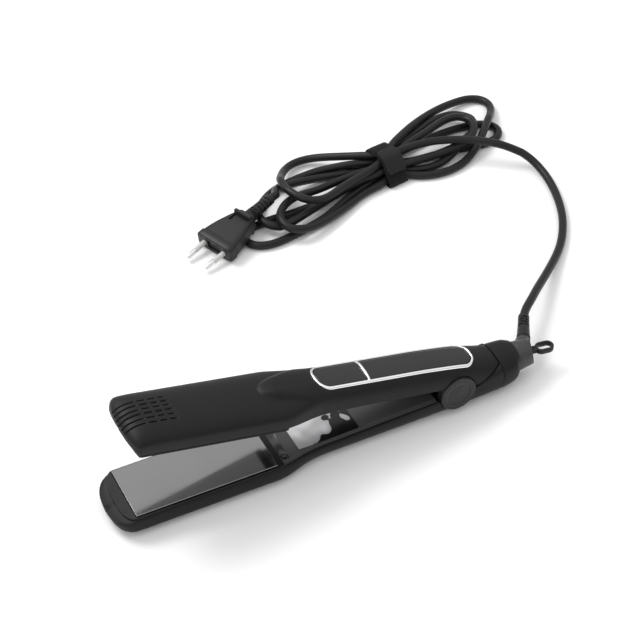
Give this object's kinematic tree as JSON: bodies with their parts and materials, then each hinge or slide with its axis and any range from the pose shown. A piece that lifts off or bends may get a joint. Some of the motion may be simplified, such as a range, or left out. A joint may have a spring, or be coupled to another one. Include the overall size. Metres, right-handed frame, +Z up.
{
  "type": "hair straightener",
  "caption": "Flat iron with sprung arms, wide floating heater plates, bright-framed key and display, swivel cord outlet, hanging loop, bundled mains cord and two-pin plug.",
  "frame": {"origin": "on the table under the middle of the iron's own bounding box, cord and plug left out", "axes": "+X along the iron from its tip towards the cord outlet, +Y to the side the cord leaves, +Z up from the table"},
  "size_m": [0.4208, 0.2902, 0.0833],
  "materials": {
    "soft_black": "soft-touch black, matt",
    "satin_grey": "dark grey, satin",
    "gloss_black": "black, polished",
    "plate_metal": "titanium coated, mirror polished",
    "chrome": "bright plated",
    "disc_grey": "dark grey, satin",
    "tail_grey": "charcoal, satin",
    "steel": "zinc plated",
    "heater_ceramic": "ceramic heater element, off-white",
    "silicone": "red silicone",
    "board": "green circuit board",
    "label": "silver film with a black wave pattern",
    "rubber_black": "black, satin",
    "felt": "black hook-and-loop strap",
    "sleeve": "pale grey"
  },
  "bodies": {
    "lower_arm": {"lower_shell": "soft_black", "lower_frame": "satin_grey", "lower_pad_front": "silicone", "lower_pad_rear": "silicone", "lower_cover": "satin_grey", "lower_screw_1": "steel", "lower_screw_2": "steel", "inner_label": "label", "hinge_bush_near": "soft_black", "hinge_bush_far": "soft_black", "hinge_disc_near": "disc_grey", "hinge_disc_far": "disc_grey", "hinge_pin": "steel", "hinge_spring": "steel", "rear_collar": "soft_black", "cord_tube": "rubber_black", "cord_hank": "rubber_black", "cord_tie": "felt", "plug_body": "rubber_black", "plug_relief": "rubber_black", "plug_pin_1": "chrome", "plug_pin_2": "chrome", "pin_sleeve_1": "sleeve", "pin_sleeve_2": "sleeve"},
    "lower_heater_plate": {"lower_plate": "plate_metal", "lower_heater": "heater_ceramic"},
    "upper_arm": {"upper_shell": "soft_black", "upper_frame": "satin_grey", "upper_pad_front": "silicone", "upper_pad_rear": "silicone", "upper_cover": "satin_grey", "upper_screw_1": "steel", "upper_screw_2": "steel", "display_bezel": "chrome", "display_lens": "gloss_black", "display_module": "gloss_black", "circuit_board": "board", "key_switch": "steel", "hinge_knuckle_near": "steel", "hinge_knuckle_far": "steel"},
    "upper_heater_plate": {"upper_plate": "plate_metal", "upper_heater": "heater_ceramic"},
    "key": {"power_key": "gloss_black"},
    "cord_swivel": {"swivel_tail": "tail_grey", "hang_loop": "rubber_black", "cord_relief": "rubber_black"}
  },
  "joints": [
    {"name": "arm_hinge", "type": "hinge", "parent": "lower_arm", "child": "upper_arm", "pos_m": [0.07925, 0, 0.0181], "axis": [0, -1, 0], "range_deg": [0, 12.3], "stiffness_Nm_per_rad": 2.3, "springref_deg": -14.9},
    {"name": "lower_plate_float", "type": "slide", "parent": "lower_arm", "child": "lower_heater_plate", "axis": [0, 0, -1], "range_m": [0, 0.0008], "stiffness_N_per_m": 4000, "springref_m": -0.001},
    {"name": "upper_plate_float", "type": "slide", "parent": "upper_arm", "child": "upper_heater_plate", "axis": [0.213, 0, 0.977], "range_m": [0, 0.0008], "stiffness_N_per_m": 4000, "springref_m": -0.001},
    {"name": "key_press", "type": "slide", "parent": "upper_arm", "child": "key", "axis": [-0.213, 0, -0.977], "range_m": [0, 0.001], "stiffness_N_per_m": 1500, "springref_m": -0.0006},
    {"name": "cord_swivel_turn", "type": "hinge", "parent": "lower_arm", "child": "cord_swivel", "pos_m": [0.12925, 0, 0.01585], "axis": [1, 0, 0], "range_deg": [-15, 90]}
  ]
}
